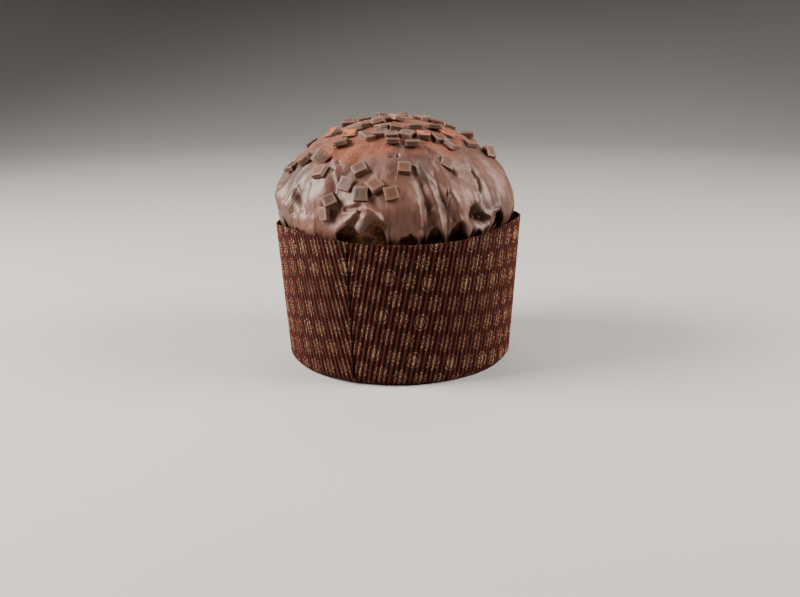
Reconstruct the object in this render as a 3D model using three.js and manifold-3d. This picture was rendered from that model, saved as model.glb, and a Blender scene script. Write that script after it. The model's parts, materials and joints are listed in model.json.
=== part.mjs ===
// A chocolate-coated panettone in its corrugated paper baking mould.
// Millimetres, +Z up. The origin is the centre of the mould's flat base, and the seam side faces -Y.
// Three solids: the paper mould, the bread that fills it and domes over its rim, and the poured
// chocolate coat over the dome, with its squares of chocolate set into it.
import * as THREE from "three";
import { mergeVertices } from "three/addons/utils/BufferGeometryUtils.js";
import Module from "manifold-3d";

// Paper mould: a flat sheet with parallel flutes, rolled into a cone and overlapped at one seam
const RIM_R = 85;
const FOOT_R = 78.2;
const MOULD_H = 98;
const RIM_MEAN = -0.8; // mm from the plain height, as are the waves' heights
const RIM_WAVES = [
  { high: 2.3, waves: 3, crest: -53 },
  { high: 0.9, waves: 1, crest: 65 },
  { high: 0.4, waves: 6, crest: 3 },
];
const RIM_CLEAR = 6;
const FOOT_TURN = 3.5; // height of the tucked-in edge round the base
const FOOT_TUCK = 2.4;
const FLUTE_PITCH = 3.3;
const FLUTE_DEPTH = 0.8;
const PAPER = 0.7;
const BASE_THICKNESS = 1.2;
const SEAM_DEG = -23;
const LAP_LIFT = 1.2;
const LAP_SPREAD_DEG = 34;

// Dome of bread and coat: nearly half an ellipsoid over its widest level, mirrored below it
const DOME_X = -2.8;
const DOME_R = 80.8;
const DOME_RISE = 55.5;
const DOME_POWER = 1.075; // over 1, the shoulders lie inside those of an ellipsoid
const WIDEST_Z = 110;
const COAT = 3.2;
const GAP = 0.3;
const BREAD_SHOULDER_Z = 82;
const BREAD_NECK_LAT_DEG = -26;

// Coat: its lower edge, where drips reach behind the rim and arches leave the crust bare
const COAT_EDGE_Z = 91.4;
const EDGE_WANDER = 0.8;

// Chocolate squares
const SQUARE = 9.4;
const SQUARE_THICKNESS = 3.4;
const CROWN_COUNT = 40; // as many as would cover the whole crown; the rear ones are kept
const CROWN_REAR_DEG = 112;
const CROWN_REACH = 47;
const CROWN_X = 3;
const BACK_COUNT = 12;
const GOLDEN_ANGLE = Math.PI * (3 - Math.sqrt(5));

// Mesh fineness
const COAT_COLUMNS = 124;
const COAT_ROWS = 15;
const CROWN_ROWS = 6;
const BREAD_COLUMNS = 52;
const CAVITY_COLUMNS = 104;

// Features of the poured coat, hand-placed. Azimuth 0 faces -Y and grows towards +X; latitude 0 is
// the widest level. A fold lies `along` by `wide` mm, turned from level, and stands `high` mm.
const FOLDS = [
  { az: -13.5, lat: 3, along: 10, wide: 7, turn: 15, high: 4.6 },
  { az: -9, lat: 7, along: 8, wide: 2.8, turn: -40, high: 3.6 },
  { az: -20, lat: 9, along: 7, wide: 3, turn: 25, high: 2.2 },
  { az: -6, lat: -6, along: 7, wide: 5, turn: 0, high: -3 },
  { az: -26, lat: -7, along: 9, wide: 5, turn: 70, high: 3 },
  { az: -68, lat: 9.5, along: 7, wide: 6, turn: 70, high: 4 },
  { az: -72, lat: 9, along: 3, wide: 2.4, turn: 0, high: -4 },
  { az: -56, lat: 4, along: 12, wide: 4.5, turn: 80, high: 3 },
  { az: -48.5, lat: 7, along: 10, wide: 2.6, turn: 123, high: -2 },
  { az: -38, lat: 18, along: 20, wide: 13, turn: 85, high: 2.4 },
  { az: -29, lat: 40, along: 14, wide: 6, turn: 74, high: 1.6 },
  { az: 23.5, lat: 21, along: 20, wide: 4.2, turn: 123, high: 2.6 },
  { az: 30, lat: 19, along: 25, wide: 4.2, turn: 100, high: 2.8 },
  { az: 38, lat: 11, along: 14, wide: 5, turn: 95, high: 2.2 },
  { az: 46, lat: 20, along: 15, wide: 2.2, turn: 84, high: -0.8 },
  { az: 50.5, lat: 19, along: 16, wide: 4, turn: 86, high: 1.6 },
  { az: 41, lat: -0.5, along: 5, wide: 4, turn: 60, high: -4.5 },
  { az: 12, lat: 0, along: 11, wide: 3, turn: 90, high: 1.8 },
  { az: 20.5, lat: -8, along: 8, wide: 3, turn: 90, high: 2.2 },
  { az: 34, lat: -7, along: 9, wide: 5, turn: 95, high: 2.6 },
  { az: 31, lat: 42, along: 12, wide: 5, turn: 150, high: 1.8 },
];
const BACK_FOLDS = 16;

// Arches in the coat's lower edge: centre, half width and the height of bare crust they leave
const ARCHES = [
  { az: -62.3, half: 3.7, high: 14 },
  { az: -51, half: 2.8, high: 10 },
  { az: -41.4, half: 3.1, high: 8 },
  { az: -20.5, half: 7.6, high: 14.5 },
  { az: -9.3, half: 7.2, high: 17 },
  { az: 6.3, half: 5.1, high: 9.5 },
  { az: 18.9, half: 4.8, high: 13.5 },
  { az: 29.6, half: 4.9, high: 15.5 },
  { az: 42.8, half: 3, high: 7 },
  { az: 59, half: 8.2, high: 18 },
  { az: 74.7, half: 4.2, high: 16 },
];
const BACK_ARCHES = 11;

// Squares on the side that faces -Y, placed one by one: each is spun where it lies, then its upper
// edge (lean) and its left edge (sway) are lifted by so many degrees.
const FRONT_SQUARES = [
  { az: -91.5, lat: 45.5, spin: 10, lean: 0, sway: 0 },
  { az: -74, lat: 29.5, spin: 30, lean: -20, sway: 0 },
  { az: -72, lat: 57, spin: 24, lean: 14, sway: 0 },
  { az: -61.5, lat: 36, spin: -40, lean: -8, sway: -15 },
  { az: -51, lat: 65.5, spin: 10, lean: -12, sway: -10 },
  { az: -47.5, lat: 71, spin: 60, lean: -10, sway: 0 },
  { az: -45, lat: 37.5, spin: -12, lean: 25, sway: 32 },
  { az: -46, lat: 59.5, spin: 35, lean: 4, sway: 12 },
  { az: -42.5, lat: 51, spin: -50, lean: -20, sway: -10 },
  { az: -40, lat: 29.5, spin: 8, lean: -8, sway: -12 },
  { az: -32.5, lat: 4.5, spin: 6, lean: 6, sway: -22 },
  { az: -30, lat: 13, spin: 40, lean: -30, sway: 10 },
  { az: -28, lat: 74.5, spin: 20, lean: -20, sway: -20 },
  { az: -26, lat: 82, spin: 30, lean: 0, sway: 0 },
  { az: -24, lat: 24.5, spin: -12, lean: 6, sway: 0 },
  { az: -23.5, lat: 58, spin: 58, lean: -14, sway: 20 },
  { az: -19, lat: 35, spin: 38, lean: -10, sway: -8 },
  { az: -15, lat: 18.5, spin: 2, lean: 4, sway: 0 },
  { az: -13.5, lat: 68.5, spin: 50, lean: -16, sway: -10 },
  { az: -13, lat: 62.5, spin: 5, lean: -4, sway: 0 },
  { az: -9, lat: 24.5, spin: 42, lean: -16, sway: 0 },
  { az: -1.5, lat: 61, spin: 12, lean: -8, sway: 0 },
  { az: -1, lat: 19, spin: 14, lean: 0, sway: 6 },
  { az: 0, lat: 54, spin: 3, lean: -30, sway: 0 },
  { az: 5, lat: 67, spin: -2, lean: -16, sway: 10 },
  { az: 6, lat: 34.5, spin: -6, lean: -4, sway: 0 },
  { az: 13.5, lat: 60.5, spin: -38, lean: -8, sway: 0 },
  { az: 15, lat: 52, spin: -18, lean: -28, sway: 0 },
  { az: 17, lat: 80.5, spin: 10, lean: -10, sway: 20 },
  { az: 28.5, lat: 58, spin: -24, lean: -10, sway: 0 },
  { az: 30.5, lat: 67.5, spin: -28, lean: -18, sway: 0 },
  { az: 31.5, lat: 36, spin: -38, lean: 8, sway: 0 },
  { az: 41.5, lat: 54.5, spin: -12, lean: -6, sway: 0 },
  { az: 46, lat: 48, spin: 2, lean: -6, sway: 14 },
  { az: 57.5, lat: 65, spin: -50, lean: -20, sway: 10 },
  { az: 59.5, lat: 57, spin: 20, lean: 0, sway: 0 },
  { az: 69.5, lat: 46, spin: -40, lean: -14, sway: 0 },
  { az: 76.5, lat: 36, spin: -35, lean: 12, sway: -20 },
  { az: 95, lat: 50, spin: -12, lean: -30, sway: 0 },
  { az: 100, lat: 60, spin: 5, lean: 0, sway: 0 },
  { az: 104.5, lat: 65.5, spin: -15, lean: -4, sway: 0 },
  { az: 109.5, lat: 73, spin: 20, lean: -10, sway: 0 },
  { az: 110, lat: 87, spin: 30, lean: 0, sway: 0 },
];

const rad = THREE.MathUtils.degToRad;
const clamp = THREE.MathUtils.clamp;
const smooth = (x) => THREE.MathUtils.smoothstep(x, 0, 1);

// The same number from 0 to 1 each time for a given piece and a given use of it.
function chance(index, use) {
  const x = Math.sin(index * 12.9898 + use * 78.233) * 43758.5453;
  return x - Math.floor(x);
}

const wasm = await Module();
wasm.setup();

function toSolid(geometry) {
  const bare = geometry.index ? geometry.toNonIndexed() : geometry.clone();
  bare.deleteAttribute("normal");
  bare.deleteAttribute("uv");
  const merged = mergeVertices(bare, 1e-4);
  const corners = merged.index.array;
  const kept = [];
  for (let i = 0; i < corners.length; i += 3) {
    const [a, b, c] = corners.slice(i, i + 3);
    if (a !== b && b !== c && a !== c) kept.push(a, b, c);
  }
  return new wasm.Manifold(
    new wasm.Mesh({
      numProp: 3,
      vertProperties: merged.attributes.position.array,
      triVerts: new Uint32Array(kept),
    }),
  );
}

function toGeometry(solid) {
  const { vertProperties, triVerts } = solid.getMesh();
  const geometry = new THREE.BufferGeometry()
    .setAttribute("position", new THREE.BufferAttribute(vertProperties, 3))
    .setIndex(new THREE.BufferAttribute(triVerts, 1));
  geometry.computeVertexNormals();
  return geometry;
}

function toTriangles(points) {
  return new THREE.BufferGeometry().setFromPoints(points);
}

const ring = (columns, pointAt) =>
  Array.from({ length: columns }, (_, i) => pointAt((2 * Math.PI * i) / columns));

const fan = (tip, edge) => edge.flatMap((at, i) => [tip, at, edge[(i + 1) % edge.length]]);

// The band between two rings. The upper one has as many points as the lower one, or half as many.
function band(low, high) {
  const step = low.length / high.length;
  return high.flatMap((at, i) => {
    const next = high[(i + 1) % high.length];
    const [a, b, c] = [step * i, step * (i + 1) - 1, step * (i + 1)].map((k) => low[k % low.length]);
    const wedge = step > 1 ? [a, b, at] : [];
    return [...wedge, b, next, at, b, c, next];
  });
}

// A closed shape from rings of points, lowest ring first, with one point that closes each end.
function ringShape(bottom, rings, top) {
  const bands = rings.slice(1).flatMap((high, k) => band(rings[k], high));
  return toTriangles([...fan(bottom, rings[0].toReversed()), ...bands, ...fan(top, rings.at(-1))]);
}

function atAzimuth(azimuth, radius, z, x = 0) {
  return new THREE.Vector3(x + radius * Math.sin(azimuth), -radius * Math.cos(azimuth), z);
}

// Paper mould

const HALF_ANGLE = Math.atan((RIM_R - FOOT_R) / MOULD_H);
const SLANT_FOOT = FOOT_R / Math.sin(HALF_ANGLE);
const SLANT_RIM = RIM_R / Math.sin(HALF_ANGLE);
const SHEET_HALF = Math.PI * Math.sin(HALF_ANGLE); // half the angle of the flat sheet's sector
const WALL_ROWS = [0, FOOT_TURN / MOULD_H, 0.5, 1]; // shares of the wall's height

function wallRadius(z) {
  const tuck = FOOT_TUCK * Math.max(0, 1 - z / FOOT_TURN);
  return FOOT_R + ((RIM_R - FOOT_R) * z) / MOULD_H - tuck;
}

const cavityRadius = (z) => wallRadius(z) - FLUTE_DEPTH - PAPER;

function rimLift(azimuth) {
  const waves = RIM_WAVES.map(({ high, waves, crest }) => high * Math.cos(waves * (azimuth - rad(crest))));
  return waves.reduce((sum, wave) => sum + wave, RIM_MEAN);
}

// The point of the rolled sheet at x across it and a share `up` of the wall's height. Its flute
// height runs from 0 in a valley to 1 on a crest.
function onSheet(x, up, flute) {
  const slant = SLANT_FOOT + up * (SLANT_RIM - SLANT_FOOT);
  const turn = Math.asin(clamp(x / slant, -1, 1)) / Math.sin(HALF_ANGLE);
  const azimuth = rad(SEAM_DEG) + Math.PI + turn;
  const z = up * MOULD_H;
  const firm = Math.min(1, z / FOOT_TURN);
  const lap = LAP_LIFT * smooth(1 - (Math.PI - turn) / rad(LAP_SPREAD_DEG));
  const radius = wallRadius(z) - FLUTE_DEPTH + firm * (flute * FLUTE_DEPTH + lap);
  return atAzimuth(azimuth, radius, up * (MOULD_H + rimLift(azimuth)));
}

// One flute line of the sheet, from its lower end, at the foot or on the seam, up to the rim.
function fluteLine(x, flute) {
  const onSeam = (Math.abs(x) / Math.sin(SHEET_HALF) - SLANT_FOOT) / (SLANT_RIM - SLANT_FOOT);
  const start = clamp(onSeam, 0, 1);
  const rows = [start, ...WALL_ROWS.filter((up) => up > start + 0.01)];
  return { x, points: rows.map((up) => ({ up, at: onSheet(x, up, flute) })) };
}

// Where the flute lines cross half of the sheet, with one at each corner of the seam.
function fluteStations() {
  const corner = SLANT_FOOT * Math.sin(SHEET_HALF);
  const reach = SLANT_RIM * Math.sin(SHEET_HALF);
  const stations = [{ x: 0, flute: 1 }];
  for (let crest = 0; crest < reach; crest += FLUTE_PITCH) {
    stations.push({ x: crest + 0.5 * FLUTE_PITCH, flute: 0 });
    stations.push({ x: crest + FLUTE_PITCH, flute: 1 });
  }
  const clear = 0.12 * FLUTE_PITCH;
  const between = stations.filter(({ x }) => x < reach - clear && Math.abs(x - corner) > clear);
  const ends = [corner, reach].map((x) => ({ x, flute: 0.5 }));
  return [...between, ...ends].sort((a, b) => a.x - b.x);
}

// Fills the strip between two neighbouring flute lines, stepping up whichever line is behind.
function fluteStrip(left, right) {
  const triangles = [];
  let [i, j] = [0, 0];
  while (i + 1 < left.length || j + 1 < right.length) {
    const stepLeft =
      j + 1 >= right.length || (i + 1 < left.length && left[i + 1].up <= right[j + 1].up);
    triangles.push(left[i].at, right[j].at);
    triangles.push(stepLeft ? left[++i].at : right[++j].at);
  }
  return triangles;
}

function mouldSolid() {
  const stations = fluteStations();
  const right = stations.map(({ x, flute }) => fluteLine(x, flute));
  const left = stations.slice(1).map(({ x, flute }) => fluteLine(-x, flute));
  const lines = [...left.reverse(), ...right];
  const triangles = [];
  for (let k = 0; k + 1 < lines.length; k++)
    triangles.push(...fluteStrip(lines[k].points, lines[k + 1].points));

  // The lap's edge steps down from the upper end of the sheet, at +x, to the lower end, at -x.
  const corner = SLANT_FOOT * Math.sin(SHEET_HALF);
  const onSeam = lines.filter(({ x }) => Math.abs(x) > corner - 1e-6);
  const upper = onSeam.filter(({ x }) => x > 0).map(({ points }) => points[0].at);
  const lower = onSeam.filter(({ x }) => x < 0).map(({ points }) => points[0].at).reverse();
  upper[0].copy(lower[0]);
  for (let k = 0; k + 1 < upper.length; k++) {
    triangles.push(upper[k], lower[k], lower[k + 1]);
    triangles.push(upper[k], lower[k + 1], upper[k + 1]);
  }

  // Flat base, and a lid that the cavity removes
  const foot = lines.filter(({ x }) => Math.abs(x) < corner + 1e-6).map(({ points }) => points[0].at);
  const rim = lines.map(({ points }) => points.at(-1).at);
  triangles.push(...fan(new THREE.Vector3(0, 0, 0), foot.toReversed()));
  triangles.push(...fan(new THREE.Vector3(0, 0, MOULD_H), rim));

  const cavity = [BASE_THICKNESS, FOOT_TURN, MOULD_H + RIM_CLEAR].map((z) =>
    ring(CAVITY_COLUMNS, (a) => atAzimuth(a, cavityRadius(z), z)),
  );
  const floor = new THREE.Vector3(0, 0, BASE_THICKNESS);
  const above = new THREE.Vector3(0, 0, MOULD_H + RIM_CLEAR);
  return toSolid(toTriangles(triangles)).subtract(toSolid(ringShape(floor, cavity, above)));
}

// The dome's ellipsoid and the coat on it

const power = (x, n) => Math.sign(x) * Math.abs(x) ** n;

// Where the dome's plain surface is, moved `lift` mm along its outward normal, and that normal.
function onDome(azimuth, lat, lift) {
  const [across, rise] = [Math.max(0, Math.cos(lat)), Math.sin(lat)];
  const z = WIDEST_Z + DOME_RISE * power(rise, DOME_POWER);
  const at = atAzimuth(azimuth, DOME_R * power(across, DOME_POWER), z, DOME_X);
  const flatter = 2 - DOME_POWER;
  const normal = atAzimuth(azimuth, power(across, flatter) / DOME_R, power(rise, flatter) / DOME_RISE);
  normal.normalize();
  return { at: at.addScaledVector(normal, lift), normal };
}

function latOfHeight(z) {
  return Math.asin(power(clamp((z - WIDEST_Z) / DOME_RISE, -1, 1), 1 / DOME_POWER));
}

// The shortest way round from one azimuth to another, from -pi to pi.
const awayFrom = (a, b) => Math.atan2(Math.sin(a - b), Math.cos(a - b));

// Folds and arches of the hidden side follow a rule in place of the photographed ones.
function backFolds() {
  return Array.from({ length: BACK_FOLDS }, (_, i) => ({
    az: 102 + (156 * (i + 0.6 * chance(i, 1))) / BACK_FOLDS,
    lat: -6 + 44 * chance(i, 2),
    along: 12 + 13 * chance(i, 3),
    wide: 4.5 + 3 * chance(i, 4),
    turn: 70 + 40 * chance(i, 5),
    high: i % 5 === 4 ? -2.4 : 1.5 + 2 * chance(i, 6),
  }));
}

function backArches() {
  return Array.from({ length: BACK_ARCHES }, (_, i) => ({
    az: 90 + (184 * (i + 0.7 * chance(i, 7))) / BACK_ARCHES,
    half: 3 + 4 * chance(i, 8),
    high: 5 + 8 * chance(i, 9),
  }));
}

const ALL_FOLDS = [...FOLDS, ...backFolds()];
const ALL_ARCHES = [...ARCHES, ...backArches()];

function foldHeight(fold, azimuth, lat) {
  const east = awayFrom(azimuth, rad(fold.az)) * DOME_R * Math.cos(lat);
  const north = (lat - rad(fold.lat)) * DOME_RISE;
  const [c, s] = [Math.cos(rad(fold.turn)), Math.sin(rad(fold.turn))];
  const u = (east * c + north * s) / fold.along;
  const v = (north * c - east * s) / fold.wide;
  return fold.high * Math.exp(-(u * u + v * v));
}

// Height of the poured coat over the plain ellipsoid: slow runs down the sides, then the folds.
function relief(azimuth, lat) {
  const runs =
    0.9 * Math.sin(5 * azimuth + 0.7) + 0.7 * Math.sin(9 * azimuth + 2.1) + 0.5 * Math.sin(16 * azimuth);
  const low = 1 - smooth((lat - rad(10)) / rad(60));
  const lumps = 0.7 * Math.sin(9.6 * lat + 4 * Math.sin(azimuth)) * Math.cos(3 * azimuth + 1);
  const folds = ALL_FOLDS.reduce((sum, fold) => sum + foldHeight(fold, azimuth, lat), 0);
  return Math.max(0.6 - COAT, low * runs + lumps * Math.cos(lat) + folds);
}

function coatEdgeHeight(azimuth) {
  const wander = EDGE_WANDER * Math.sin(11 * azimuth + 0.4);
  const bare = ALL_ARCHES.map(({ az, half, high }) => {
    const off = awayFrom(azimuth, rad(az)) / rad(half);
    return Math.abs(off) < 1 ? high * Math.sqrt(1 - off * off) : 0;
  });
  return COAT_EDGE_Z + wander + Math.max(...bare);
}

// A point of the coat's outside, kept inside the paper where the coat dips behind the rim.
function onCoat(azimuth, lat, lift = 0) {
  const { at } = onDome(azimuth, lat, Math.max(0.4 - COAT, relief(azimuth, lat) + lift));
  const over = Math.max(0, at.z - MOULD_H);
  const most = cavityRadius(at.z - over) - 3.5 * GAP + 0.3 * over;
  const radius = Math.hypot(at.x, at.y);
  if (radius > most) at.multiply(new THREE.Vector3(most / radius, most / radius, 1));
  return at;
}

function coatSolid() {
  const lip = [
    { rise: 0, lift: -0.62 * COAT },
    { rise: 1.1, lift: -0.2 * COAT },
    { rise: 3.2, lift: 0 },
  ];
  const rings = [];
  for (let k = 0; k < COAT_ROWS; k++) {
    const { rise, lift } = lip[Math.min(k, 2)];
    const share = Math.max(0, k - 2) / (COAT_ROWS - 2);
    const columns = k < COAT_ROWS - CROWN_ROWS ? COAT_COLUMNS : COAT_COLUMNS / 2;
    rings.push(
      ring(columns, (azimuth) => {
        const low = latOfHeight(coatEdgeHeight(azimuth) + rise);
        return onCoat(azimuth, low + share * (Math.PI / 2 - low), lift);
      }),
    );
  }
  const under = new THREE.Vector3(DOME_X, 0, COAT_EDGE_Z);
  const crown = onDome(0, Math.PI / 2, relief(0, Math.PI / 2)).at;
  const poured = toSolid(ringShape(under, rings, crown));
  const hollow = domeRings(-COAT);
  const below = ring(BREAD_COLUMNS, (a) => atAzimuth(a, 0.8 * DOME_R, BREAD_SHOULDER_Z, DOME_X));
  const shell = poured.subtract(
    toSolid(
      ringShape(new THREE.Vector3(DOME_X, 0, BREAD_SHOULDER_Z), [below, ...hollow.rings], hollow.top),
    ),
  );
  const dotted = squares().reduce((whole, square) => whole.add(toSolid(square)), shell);
  const [filled] = dotted.decompose().sort((a, b) => b.volume() - a.volume());
  return filled; // the outer surface alone, without pockets shut in under leaning squares
}

// Bread

// Rings of the dome from its neck up, moved in from the outer ellipsoid, and its top point.
function domeRings(lift) {
  const neck = rad(BREAD_NECK_LAT_DEG);
  const rows = 9;
  const lats = Array.from({ length: rows }, (_, k) => neck + ((Math.PI / 2 - neck) * k) / rows);
  return {
    rings: lats.map((lat) => ring(BREAD_COLUMNS, (a) => onDome(a, lat, lift).at)),
    top: onDome(0, Math.PI / 2, lift).at,
  };
}

function breadGeometry() {
  const dome = domeRings(-COAT - GAP);
  const inMould = [
    { z: BASE_THICKNESS + GAP, inset: 2.5 * GAP },
    { z: FOOT_TURN + GAP, inset: 2 * GAP },
    { z: BREAD_SHOULDER_Z, inset: GAP },
    { z: BREAD_SHOULDER_Z + 5, inset: 3 },
  ];
  const loaf = inMould.map(({ z, inset }) =>
    ring(BREAD_COLUMNS, (a) => atAzimuth(a, cavityRadius(z) - inset, z)),
  );
  const floor = new THREE.Vector3(0, 0, BASE_THICKNESS + GAP);
  return ringShape(floor, [...loaf, ...dome.rings], dome.top);
}

// Chocolate squares, each sunk a little into the coat

// Behind the placed ones, the crown's squares follow a sunflower spiral that chance loosens.
function crownPlaces() {
  const spiral = Array.from({ length: CROWN_COUNT }, (_, i) => {
    const reach = CROWN_REACH * Math.sqrt((i + 0.5) / CROWN_COUNT) + 5 * (chance(i, 11) - 0.5);
    const turn = i * GOLDEN_ANGLE + 0.5 * (chance(i, 12) - 0.5);
    const [x, y] = [CROWN_X + reach * Math.sin(turn) - DOME_X, reach * Math.cos(turn)];
    return {
      az: THREE.MathUtils.radToDeg(Math.atan2(x, -y)),
      lat: THREE.MathUtils.radToDeg(Math.acos(Math.hypot(x, y) / DOME_R)),
      spin: 180 * chance(i, 13),
      lean: 36 * (chance(i, 14) - 0.7),
      sway: 30 * (chance(i, 19) - 0.5),
    };
  });
  return spiral.filter(({ az }) => Math.abs(az) > CROWN_REAR_DEG);
}

function backPlaces() {
  return Array.from({ length: BACK_COUNT }, (_, i) => ({
    az: 96 + (168 * (i + 0.7 * chance(i, 15))) / BACK_COUNT,
    lat: 12 + 36 * chance(i, 16),
    spin: 180 * chance(i, 17),
    lean: 30 * (chance(i, 18) - 0.5),
    sway: 20 * (chance(i, 20) - 0.5),
  }));
}

function squares() {
  const places = [...FRONT_SQUARES, ...crownPlaces(), ...backPlaces()];
  return places.map(({ az, lat, spin, lean, sway }, i) => {
    const side = SQUARE * (0.9 + 0.16 * chance(i, 21));
    const broken = i >= FRONT_SQUARES.length && chance(i, 22) < 0.2 ? 0.6 : 1;
    const thick = SQUARE_THICKNESS * (0.85 + 0.3 * chance(i, 23));
    const { normal } = onDome(rad(az), rad(lat), 0);
    const along = atAzimuth(rad(az + 90), 1, 0);
    const up = new THREE.Vector3().crossVectors(normal, along);
    const lifted = Math.abs(Math.sin(rad(lean))) + Math.abs(Math.sin(rad(sway)));
    const stand = 0.5 * thick - 0.9 + 0.25 * side * lifted;
    return new THREE.BoxGeometry(side, side * broken, thick)
      .applyMatrix4(new THREE.Matrix4().makeRotationZ(rad(spin)))
      .applyMatrix4(new THREE.Matrix4().makeRotationX(rad(lean)))
      .applyMatrix4(new THREE.Matrix4().makeRotationY(rad(sway)))
      .applyMatrix4(new THREE.Matrix4().makeBasis(along, up, normal))
      .translate(...onCoat(rad(az), rad(lat), stand));
  });
}

// The finished object

const kraft = new THREE.MeshStandardMaterial({ color: 0x4a281c, roughness: 0.75, metalness: 0 });
const crust = new THREE.MeshStandardMaterial({ color: 0x6b4424, roughness: 0.9, metalness: 0 });
const chocolate = new THREE.MeshStandardMaterial({ color: 0x5e4036, roughness: 0.42, metalness: 0 });

function named(name, geometry, material) {
  const mesh = new THREE.Mesh(geometry, material);
  mesh.name = name;
  return mesh;
}

const panettone = new THREE.Group();
panettone.add(
  named("paper_mould", toGeometry(mouldSolid()), kraft),
  named("bread", breadGeometry(), crust),
  named("chocolate_coat", toGeometry(coatSolid()), chocolate),
);

export default panettone;
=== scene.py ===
"""A chocolate-coated panettone in its printed paper mould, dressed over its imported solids.

Sizes are in millimetres and angles in degrees. Points turn into metres as they reach a mesh.
Azimuth 0 faces -Y, towards the camera, and grows towards +X. Latitude 0 is the dome's widest level.
"""
import json
import math

import bpy
import numpy as np
from mathutils import Matrix, Vector, noise

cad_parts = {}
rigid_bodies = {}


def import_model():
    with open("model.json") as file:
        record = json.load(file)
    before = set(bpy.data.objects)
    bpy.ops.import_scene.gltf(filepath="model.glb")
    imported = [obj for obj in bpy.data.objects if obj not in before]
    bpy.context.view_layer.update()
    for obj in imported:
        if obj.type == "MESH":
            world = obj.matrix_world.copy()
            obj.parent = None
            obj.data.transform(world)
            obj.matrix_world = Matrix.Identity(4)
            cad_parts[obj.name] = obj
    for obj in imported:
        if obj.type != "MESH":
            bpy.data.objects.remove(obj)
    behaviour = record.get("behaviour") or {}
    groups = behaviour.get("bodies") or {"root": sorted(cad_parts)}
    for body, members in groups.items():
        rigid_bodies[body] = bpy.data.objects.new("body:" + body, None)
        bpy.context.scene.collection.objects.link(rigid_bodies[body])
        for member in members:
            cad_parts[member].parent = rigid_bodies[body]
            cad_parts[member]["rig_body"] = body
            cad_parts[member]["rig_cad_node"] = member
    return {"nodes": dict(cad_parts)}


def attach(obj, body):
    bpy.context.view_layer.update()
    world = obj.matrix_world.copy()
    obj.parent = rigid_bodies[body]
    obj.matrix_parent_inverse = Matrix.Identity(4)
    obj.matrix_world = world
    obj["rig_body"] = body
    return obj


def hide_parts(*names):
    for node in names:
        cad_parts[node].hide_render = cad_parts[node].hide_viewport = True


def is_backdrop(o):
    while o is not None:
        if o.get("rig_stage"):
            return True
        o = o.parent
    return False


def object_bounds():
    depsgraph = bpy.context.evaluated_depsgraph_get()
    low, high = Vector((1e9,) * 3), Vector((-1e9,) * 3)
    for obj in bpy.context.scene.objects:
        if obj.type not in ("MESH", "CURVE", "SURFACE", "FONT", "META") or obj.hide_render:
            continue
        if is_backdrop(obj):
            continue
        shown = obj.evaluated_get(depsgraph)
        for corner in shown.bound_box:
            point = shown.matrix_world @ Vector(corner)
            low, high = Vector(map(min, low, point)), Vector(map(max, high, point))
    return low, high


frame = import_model()
cad_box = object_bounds()

MM = 0.001
GOLDEN_ANGLE = math.pi * (3 - math.sqrt(5))

# Paper mould: a flat sheet with parallel flutes, rolled into a cone and overlapped at one seam
RIM_R = 85.0
FOOT_R = 78.2
MOULD_H = 98.0
RIM_MEAN = -0.8
RIM_WAVES = [(2.3, 3, -53), (0.9, 1, 65), (0.4, 6, 3)]
FOOT_TURN = 3.5
FOOT_TUCK = 2.4
FLUTE_PITCH = 3.3
FLUTE_DEPTH = 0.8
PAPER = 0.7
BASE_THICKNESS = 1.2
SEAM_DEG = -23.0
LAP_LIFT = 1.2
LAP_SPREAD_DEG = 34.0
UNDERLAP_DEG = 8.0
MOULD_COLUMNS = 1340
MOULD_ROWS = 28

# Dome of bread and coat
DOME_X = -2.8
DOME_R = 80.8
DOME_RISE = 55.5
DOME_POWER = 1.075
WIDEST_Z = 110.0
COAT = 3.2
THINNEST_COAT = 0.6
GAP = 0.3
COAT_CLEAR = 3.5 * GAP
LEAN_OVER_RIM = 0.3
COAT_EDGE_Z = 91.4
EDGE_WANDER = 0.8
BEAD_HEIGHT = 1.1
BEAD_WIDTH = 3.0

# Waves that go round the dome: height, how many go round, and where they start in radians
COAT_RUNS = [(0.9, 5, 0.7), (0.7, 9, 2.1), (0.5, 16, 0)]
RAGGED_EDGE = [(0.7, 37, 1), (0.6, 61, 0), (0.3, 113, 0)]
COCOA_EDGE = [(3, 5, 1), (2.5, 9, 0), (2, 17, 0)]

# Latitude where the cocoa ends, and where it reaches lower or less low: azimuth and change
COCOA_LOWEST = 41
COCOA_TONGUES = [(-38, -9), (45, 2)]
TONGUE_WIDTH = 0.35
COCOA_FADE = 34

# The crust under the coat: how finely it is cut, and the levels where it turns rough and dents
CRUST_CUTS = 5
CRUST_ROUGH_Z = 78
CRUST_DENTS_Z = 86

# Rows of the coat's mesh: up its inside, round its edge, then up its outside
COAT_COLUMNS = 600
INSIDE_ROWS = 10
LIP_ROWS = 8
OUTSIDE_ROWS = 130

# Folds of the coat: azimuth, latitude, half length, half width, turn from level, height
FOLDS = [
    (-13.5, 3, 10, 7, 15, 4.6),
    (-9, 7, 8, 2.8, -40, 3.6),
    (-20, 9, 7, 3, 25, 2.2),
    (-6, -6, 7, 5, 0, -3),
    (-26, -7, 9, 5, 70, 3),
    (-68, 9.5, 7, 6, 70, 4),
    (-72, 9, 3, 2.4, 0, -4),
    (-56, 4, 12, 4.5, 80, 3),
    (-48.5, 7, 10, 2.6, 123, -2),
    (-38, 18, 20, 13, 85, 2.4),
    (-29, 40, 14, 6, 74, 1.6),
    (23.5, 21, 20, 4.2, 123, 2.6),
    (30, 19, 25, 4.2, 100, 2.8),
    (38, 11, 14, 5, 95, 2.2),
    (46, 20, 15, 2.2, 84, -0.8),
    (50.5, 19, 16, 4, 86, 1.6),
    (41, -0.5, 5, 4, 60, -4.5),
    (12, 0, 11, 3, 90, 1.8),
    (20.5, -8, 8, 3, 90, 2.2),
    (34, -7, 9, 5, 95, 2.6),
    (31, 42, 12, 5, 150, 1.8),
]
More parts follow.
